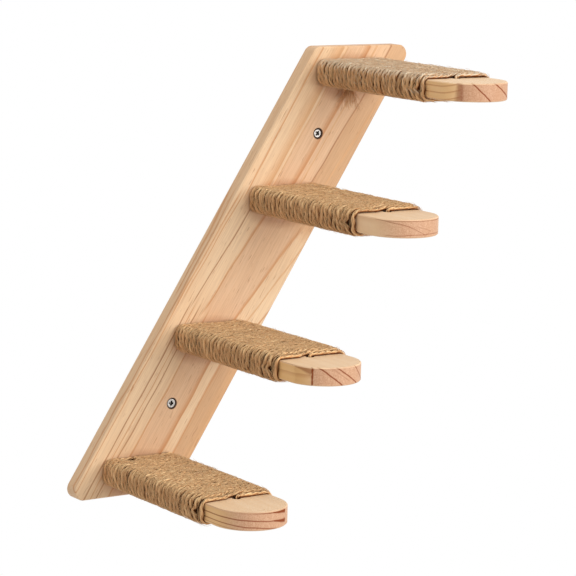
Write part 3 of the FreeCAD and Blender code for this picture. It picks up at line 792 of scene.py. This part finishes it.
def cord_line():
    """The cord's centre line on a step: points from the root's middle, outward directions.

    It also gives the turn that each point belongs to.
    """
    start = TAIL_BEND / AROUND
    end = TURNS - 0.5
    count = int(TURNS * AROUND / SAMPLE)
    turn = np.linspace(start, end - start, count)
    x, z, nx, nz = section_point(turn)
    y = FIRST_TURN + PITCH * turn_advance(turn)
    hold = np.minimum(1, (end - turn) * 2)      # it wanders less on the last half turn
    y += WANDER * hold * smooth_noise(count, AROUND / SAMPLE / WANDERS_EACH_TURN, 1.0)
    lift = smooth_noise(count, AROUND / SAMPLE / HEAVES_EACH_TURN, HEAVE)
    lift += hug(z, nx, nz)
    line = np.stack([x + nx * lift, y, z + nz * lift], axis=-1)
    out = np.stack([nx, np.zeros(count), nz], axis=-1)
    first, first_out = cord_tail(line[0], -1)
    last, last_out = cord_tail(line[-1], 1)
    line = np.concatenate([first[::-1], line, last])
    out = np.concatenate([first_out[::-1], out, last_out])
    turn = np.concatenate([np.full(len(first), turn[0]), turn, np.full(len(last), turn[-1])])
    return line, out, turn


# ---------------------------------------------------------------- jute windings

# the plies, in shares of the cord's radii
PLY_ASIDE, PLY_OUT = 0.52, 0.48         # from the cord's middle
PLY_BREADTH, PLY_PROUD = 0.50, 0.54     # radii
PLY_SWELL = 0.14                        # of the radii
PLY_SWELL_EVERY = 6                     # points
PLY_SIDES = 6
PLY_APART = 7.3                 # between the places where the plies read their texture
TWIST_SWAY = 0.09               # of the twist from one point to the next, in radians
TWIST_SWAY_EVERY = 30           # points
SQUASH = 0.16                   # share of its thickness that the cord loses at a corner, doubled
LAST_LOOP_PALE = 0.35           # cord radii that are added to the last loop's crest mark, for less painted shade and more painted highlight

# the fibres, with lengths in millimetres and angles in radians
FIBRES = 3200                   # on each winding
FIBRE_SIDES = 3
FIBRE_LENGTH = (6, 26)
FIBRE_RADIUS = (0.09, 0.2)
FIBRE_LIFT = (-0.35, 0.2)       # from the cord's crest
FIBRE_ARCH = 0.25               # of the middle of a fibre that lies on the cord
FIBRE_PIECE = 2.6               # between two points of a fibre
FIBRE_BOW = 0.4                 # sideways
FIBRE_TAPER = 0.6               # share of the radius that is lost at the ends
FIBRE_MARGINS = (0.6, 0.65)     # of turns at the board and at the nose, where no fibre starts
ALIGNED_SHARE = 0.6
ALIGNED_SWAY, CROSSING_SWAY = 0.12, 0.5
FREE_SHARE = 0.16
FREE_LIFT = (0.4, 2.2)          # of a free fibre's end
TEXTURE_SHIFT = 9               # largest one between the fibres, so that they look unlike

# the frayed tuft
TUFT_STEP = "top"
TUFT_PLACE = (-7.5 * MM, -9 * MM, -4 * MM)      # from the underside's middle at the root
TUFT_FIBRES = 60
TUFT_POINTS = 7
TUFT_LENGTH = (12, 26)          # in millimetres
TUFT_RADIUS = (0.2, 0.45)
TUFT_TAPER = 0.6                # share of the radius that is lost at the lower end
TUFT_BREADTH, TUFT_DEPTH = 2.6 * MM, 2.0 * MM   # of the bundle, across and along the step
TUFT_SPREAD = 0.33              # how far the fibres lean, for their length
TUFT_CURL = 3.5 * MM            # of their ends
TUFT_HEIGHT = 0.75              # of the crest mark, in cord radii

# the cut
CUT_STEP = "bottom"
CUT_FROM, CUT_TO = (-19 * MM, -15 * MM), (-10 * MM, -7 * MM)    # across and along the step
CUT_HALF_WIDTH = 3.1 * MM
CUT_FADE = 1.2 * MM             # beyond its ends
CUT_DEPTH = 1.2 * MM
CUT_MARK = 3                    # cord radii that are taken off its crest mark


def sweep(name, tubes, material, sides):
    """One mesh of closed tubes.

    Each tube is (centres, way a, way b, radius a, radius b, along, height), with the height
    of its centres over the cord's own middle, in cord radii.
    """
    angle = np.arange(sides) * (2 * math.pi / sides)
    points, faces, caps, strands, crests = [], [], [], [], []
    first = 0
    for centres, a, b, radius_a, radius_b, along, height in tubes:
        rows = len(centres)
        ring = (centres[:, None, :]
                + a[:, None, :] * (radius_a[:, None] * np.cos(angle))[:, :, None]
                + b[:, None, :] * (radius_b[:, None] * np.sin(angle))[:, :, None])
        points.append(ring.reshape(-1, 3))
        strand = np.zeros((rows, sides, 3))
        strand[:, :, 0] = along[:, None]
        strand[:, :, 1] = np.cos(angle)
        strand[:, :, 2] = np.sin(angle)
        strands.append(strand.reshape(-1, 3))
        crests.append((height[:, None] + (radius_b[:, None] * np.sin(angle)) / CORD_RISE).ravel())
        tube_faces, tube_caps = ring_faces(first, rows, sides)
        faces += tube_faces
        caps += tube_caps
        first += rows * sides
    marks = {"strand": np.concatenate(strands), "crest": np.concatenate(crests)}
    return add_piece(name, np.concatenate(points), faces + caps, marks, material)


def make_winding(step):
    """A step's cord of three plies, with its loose fibres."""
    root = np.array(root_of(step))
    line, out, turn = cord_line()
    count = len(line)
    side = np.tile([0.0, 1.0, 0.0], (count, 1))
    along = np.concatenate([[0], np.cumsum(np.linalg.norm(np.diff(line, axis=0), axis=1))])
    twist_sway = np.cumsum(smooth_noise(count, TWIST_SWAY_EVERY, TWIST_SWAY))
    turned = 2 * math.pi * along / CORD_LAY + twist_sway
    thin = last_loop_thickness(turn)
    squash = 1 - SQUASH * np.abs(out[:, 0] * out[:, 2])
    breadth, proud = CORD_BREADTH / 2 * thin, CORD_PROUD / 2 * thin * squash
    line = (line - side * ((1 - thin) * CORD_BREADTH / 2)[:, None]
            - out * ((1 - thin) * CORD_PROUD / 2)[:, None])
    # the last loop has less painted shade and more painted highlight through its crest mark, and its
    # plies are less even
    last = on_last_loop(turn, *PALING)
    tubes = []
    for ply in range(PLIES):
        angle = turned + 2 * math.pi * ply / PLIES
        swell = 1 + smooth_noise(count, PLY_SWELL_EVERY, PLY_SWELL) * (1 + last)
        centres = (root + line + side * (np.cos(angle) * breadth * PLY_ASIDE)[:, None]
                   + out * (np.sin(angle) * proud * PLY_OUT)[:, None])
        tubes.append((centres, side, out, breadth * PLY_BREADTH * swell, proud * PLY_PROUD * swell,
                      along + ply * PLY_APART, np.sin(angle) * PLY_OUT + last * LAST_LOOP_PALE))
    material = jute_top_material if step == "top" else jute_material
    piece = sweep(step + "_jute_winding", tubes, material, PLY_SIDES)
    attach(piece, "root")
    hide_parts(step + "_cord_winding")
    loose = make_fibres(step, root, material)
    if step == CUT_STEP:
        cut_cord(piece, root)
        cut_cord(loose, root)


def cut_cord(piece, root):
    """A slanted cut on top of a winding, near the board, whose lowered crest mark gives it painted
    shade.
    """
    mesh = piece.data
    points = np.zeros(len(mesh.vertices) * 3)
    mesh.vertices.foreach_get("co", points)
    points = points.reshape(-1, 3)
    x, y, z = (points - root).T
    (x0, y0), (x1, y1) = CUT_FROM, CUT_TO
    run = math.hypot(x1 - x0, y1 - y0)
    ux, uy = (x1 - x0) / run, (y1 - y0) / run
    along, away = (x - x0) * ux + (y - y0) * uy, (x - x0) * uy - (y - y0) * ux
    beyond = np.maximum(np.abs(along - run / 2) - run / 2, 0)
    cut = np.exp(-((away / CUT_HALF_WIDTH) ** 4 + (beyond / CUT_FADE) ** 2)) * (z > STEP_THICKNESS / 2)
    points[:, 2] -= cut * CUT_DEPTH
    mesh.vertices.foreach_set("co", points.ravel())
    crest = np.zeros(len(mesh.vertices))
    mesh.attributes["crest"].data.foreach_get("value", crest)
    mesh.attributes["crest"].data.foreach_set("value", crest - CUT_MARK * cut)


def make_fibres(step, root, material):
    """Loose fibres that lie on the cord, cross it, or stand off it."""
    tubes = []
    for _ in range(FIBRES):
        length = rng.uniform(*FIBRE_LENGTH) * MM
        turn = rng.uniform(FIBRE_MARGINS[0], TURNS - FIBRE_MARGINS[1])
        rows = max(4, int(length / (FIBRE_PIECE * MM)))
        t = np.linspace(0, 1, rows)
        cross = rng.normal(0, ALIGNED_SWAY if rng.random() < ALIGNED_SHARE else CROSSING_SWAY)
        turns = turn + t * length * math.cos(cross) / AROUND
        x, z, nx, nz = section_point(turns)
        y = FIRST_TURN + PITCH * turn_advance(turns) + rng.uniform(-0.5, 0.5) * CORD_BREADTH
        y = y + t * length * math.sin(cross)
        y = y + rng.normal(0, FIBRE_BOW * MM) * np.sin(t * math.pi * rng.uniform(1, 2))
        y = y.clip(-WRAP_LENGTH + 0.3 * MM, -0.6 * MM)
        free = rng.random() < FREE_SHARE
        lift = CORD_PROUD / 2 + rng.uniform(*FIBRE_LIFT) * MM
        lift = lift + (rng.uniform(*FREE_LIFT) * MM * t ** 2 if free
                       else FIBRE_ARCH * MM * np.sin(t * math.pi))
        lift = lift + hug(z, nx, nz) - (1 - last_loop_thickness(turns)) * CORD_PROUD
        centres = root + np.stack([x + nx * lift, y, z + nz * lift], axis=-1)
        ahead = np.gradient(centres, axis=0)
        ahead /= np.linalg.norm(ahead, axis=1)[:, None]
        side = np.cross(np.stack([nx, np.zeros(rows), nz], axis=-1), ahead)
        side /= np.linalg.norm(side, axis=1)[:, None]
        radius = rng.uniform(*FIBRE_RADIUS) * MM * (1 - FIBRE_TAPER * np.abs(2 * t - 1) ** 3)
        # a crest mark of 1 gives the fibres the crests' painted highlight
        tubes.append((centres, side, np.cross(ahead, side), radius, radius,
                      t * length + rng.uniform(0, TEXTURE_SHIFT), np.ones(rows)))
    piece = sweep(step + "_jute_fibres", tubes, material, FIBRE_SIDES)
    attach(piece, "root")
    return piece


def make_tuft(step):
    """The frayed end of the cord, which hangs down under a step near the board."""
    low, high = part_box(step + "_step_plank")
    dx, dy, dz = TUFT_PLACE
    start = np.array([(low.x + high.x) / 2 + dx, high.y + dy, low.z + dz])
    t = np.linspace(0, 1, TUFT_POINTS)
    across = np.tile([1.0, 0.0, 0.0], (TUFT_POINTS, 1))
    ahead = np.tile([0.0, 1.0, 0.0], (TUFT_POINTS, 1))
    tubes = []
    for _ in range(TUFT_FIBRES):
        length = rng.uniform(*TUFT_LENGTH) * MM
        way = rng.normal(0, TUFT_SPREAD, 2)
        curl = rng.normal(0, TUFT_CURL, 2)
        centres = start + np.stack([
            rng.normal(0, TUFT_BREADTH) + way[0] * length * t + curl[0] * t ** 2,
            rng.normal(0, TUFT_DEPTH) + way[1] * length * t + curl[1] * t ** 2,
            -length * t], axis=-1)
        radius = rng.uniform(*TUFT_RADIUS) * MM * (1 - TUFT_TAPER * t)
        tubes.append((centres, across, ahead, radius, radius,
                      t * length + rng.uniform(0, TEXTURE_SHIFT), np.full(TUFT_POINTS, TUFT_HEIGHT)))
    piece = sweep(step + "_jute_tuft", tubes, jute_material, FIBRE_SIDES)
    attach(piece, "root")


for step in STEPS:
    make_winding(step)
make_tuft(TUFT_STEP)


# ---------------------------------------------------------------- wall screws

SCREW_LENGTH = 70 * MM
HEAD_EDGE = 0.15 * MM           # height of the head's rim
SHANK_RADIUS = 1.85 * MM
CORE_RADIUS = 1.65 * MM
THREAD_DEPTH = 0.85 * MM
THREAD_PITCH = 2.4 * MM
THREAD_LENGTH = 42 * MM
THREAD_FLANK = 0.24             # of a thread's crest to either side, in pitches
TIP_LENGTH = 6 * MM
RECESS_DEPTH = 2.2 * MM
# the recess in millimetres from the head's middle: (where it starts to rise, over how much)
WING_EDGE, WING_END, HEART_EDGE = (0.6, 0.4), (2.1, 0.6), (2.0, 0.8)
RECESS_FLOOR = 0.6 * MM         # radius of its floor, which gets less painted shade than its flanks
SCREW_SIDES = 96
HEAD_RINGS = 34


def within(distance, edge, run):
    """1 up to the edge, and 0 beyond it."""
    return 1 - smoothstep((distance / MM - edge) / run)


def cross_recess(r, angle):
    """Depth of a cross recess at a point of the screw's head."""
    x, z = np.abs(r * np.cos(angle)), np.abs(r * np.sin(angle))
    wings = within(np.minimum(x, z), *WING_EDGE) * within(np.maximum(x, z), *WING_END)
    return RECESS_DEPTH * np.maximum(wings, within(x + z, *HEART_EDGE))


def screw_rows(angle, turned, head_radius):
    """The rings of a screw from its head's middle to its tip.

    Each is (radius, depth under the head's face, how much painted shade it has) at the ring's points.
    """
    rows = []

    def add(radius, depth, dark=0.0):
        rows.append([np.broadcast_to(value, angle.shape) for value in (radius, depth, dark)])

    for r in np.linspace(0.02, 0.97, HEAD_RINGS) * head_radius:
        depth = cross_recess(r, angle + turned)
        add(r, depth, depth / RECESS_DEPTH * (0.2 if r < RECESS_FLOOR else 1.0))
    cone = head_radius - SHANK_RADIUS
    for share in (0.0, 0.01, 0.25, 0.5, 0.75, 1.0):
        add(head_radius - cone * share, HEAD_EDGE + cone * share)
    start = SCREW_LENGTH - THREAD_LENGTH
    for y in np.linspace(4 * MM, start - 0.5 * MM, 4):
        add(SHANK_RADIUS, y)
    for y in np.arange(start, SCREW_LENGTH, THREAD_PITCH / 10):
        phase = (y / THREAD_PITCH - angle / (2 * math.pi)) % 1.0
        crest = np.clip(1 - np.abs(phase - 0.5) / THREAD_FLANK, 0, 1)
        taper = min(1.0, max(0.0, (SCREW_LENGTH - y) / TIP_LENGTH))
        run_in = min(1.0, (y - start) / THREAD_PITCH)
        radius = CORE_RADIUS * taper + THREAD_DEPTH * crest * run_in * math.sqrt(taper)
        add(np.maximum(radius, 0.03 * MM), y)
    return rows


def make_screw(word, turned, head_radius):
    """A countersunk wood screw with its cross recess and thread.

    Its head is a little smaller than its seat.
    """
    low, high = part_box(word + "_wall_screw")
    middle = (low + high) / 2
    angle = np.arange(SCREW_SIDES) * (2 * math.pi / SCREW_SIDES)
    rows = screw_rows(angle, turned, head_radius)
    points = [np.stack([middle.x + radius * np.cos(angle), low.y + depth,
                        middle.z + radius * np.sin(angle)], axis=-1) for radius, depth, _ in rows]
    sunk = np.concatenate([dark for _, _, dark in rows])
    faces, caps = ring_faces(0, len(rows), SCREW_SIDES)
    piece = add_piece(word + "_screw_detail", np.concatenate(points), faces + caps,
                      {"sunk": sunk}, steel_material)
    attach(piece, "root")
    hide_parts(word + "_wall_screw")


for word, head in SCREW_HEADS.items():
    make_screw(word, *head)


# ---------------------------------------------------------------- floor, light and camera

FLOOR_DROP = 1.6
FLOOR_RADIUS = 3.2
FLOOR_PALE = 0.86
FLOOR_SIDES = 96
AMBIENT = 0.59

# the camera was solved from the object's corners in the photograph
CAMERA_PLACE = (-1.4946, -2.2708, 0.4382)
CAMERA_YAW, CAMERA_DOWN, CAMERA_ROLL = (math.radians(a) for a in (34.492, 9.628, 1.547))
FOCAL_PIXELS = 2677.5
PHOTO_PIXELS = 576
SENSOR_WIDTH = 36               # in millimetres, as Blender takes it


def make_floor():
    """A round pale floor that fades out towards its edge."""
    mesh = bpy.data.meshes.new("floor")
    angles = [2 * math.pi * k / FLOOR_SIDES for k in range(FLOOR_SIDES)]
    ring = [(FLOOR_RADIUS * math.cos(a), FLOOR_RADIUS * math.sin(a), -FLOOR_DROP) for a in angles]
    mesh.from_pydata(ring, [], [list(range(FLOOR_SIDES))])
    n = new_material("floor")
    away = n.length(n.place(n.here(), scale=(1 / FLOOR_RADIUS, 1 / FLOOR_RADIUS, 0)))
    fade = n.ramp(away, [(0.35, 0.0), (0.98, 1.0)])
    pale = n.shader("BsdfDiffuse", Color=(FLOOR_PALE,) * 3)
    mesh.materials.append(n.finish(n.blend(fade, pale, n.shader("BsdfTransparent"))))
    floor = bpy.data.objects.new("floor", mesh)
    bpy.context.scene.collection.objects.link(floor)


def make_world():
    """White where it is seen or mirrored, and a softer light elsewhere."""
    world = bpy.data.worlds.new("studio")
    bpy.context.scene.world = world
    n = Nodes(world, "OutputWorld")
    path = n.add("LightPath").outputs
    mirrored = n.maths("MAXIMUM", path["Is Glossy Ray"], path["Is Transmission Ray"])
    seen = n.maths("MAXIMUM", path["Is Camera Ray"], mirrored)
    soft = n.shader("Background", Color=AMBIENT_WHITE, Strength=AMBIENT)
    white = n.shader("Background", Color=(1, 1, 1), Strength=1.0)
    n.finish(n.blend(seen, soft, white))


def add_lamp(name, place, side, watts):
    """A square lamp that points at the origin."""
    light = bpy.data.lights.new(name, "AREA")
    light.shape = "RECTANGLE"
    light.size, light.size_y = side, side
    light.energy = watts
    light.color = LAMP_WHITE
    lamp = bpy.data.objects.new(name, light)
    lamp.location = place
    lamp.rotation_euler = (-Vector(place)).to_track_quat("-Z", "Y").to_euler()
    bpy.context.scene.collection.objects.link(lamp)


def make_camera():
    """The photograph's camera."""
    level = math.cos(CAMERA_DOWN)
    ahead = Vector((math.sin(CAMERA_YAW) * level, math.cos(CAMERA_YAW) * level, -math.sin(CAMERA_DOWN)))
    right = Vector((math.cos(CAMERA_YAW), -math.sin(CAMERA_YAW), 0))
    up = right.cross(ahead)
    rolled_right = right * math.cos(CAMERA_ROLL) + up * math.sin(CAMERA_ROLL)
    rolled_up = up * math.cos(CAMERA_ROLL) - right * math.sin(CAMERA_ROLL)
    turn = Matrix((rolled_right, rolled_up, -ahead)).transposed()
    camera = bpy.data.objects.new("camera", bpy.data.cameras.new("camera"))
    camera.matrix_world = Matrix.Translation(CAMERA_PLACE) @ turn.to_4x4()
    camera.data.sensor_width = SENSOR_WIDTH
    camera.data.lens = FOCAL_PIXELS / PHOTO_PIXELS * SENSOR_WIDTH
    camera.data.clip_end = 50
    bpy.context.scene.collection.objects.link(camera)
    bpy.context.scene.camera = camera


make_world()
make_floor()
add_lamp("key", (0.9, -2.6, 0.6), 1.4, 46)
add_lamp("top", (0.1, -0.6, 2.3), 1.0, 16)
make_camera()
bpy.context.scene.view_settings.view_transform = "Standard"
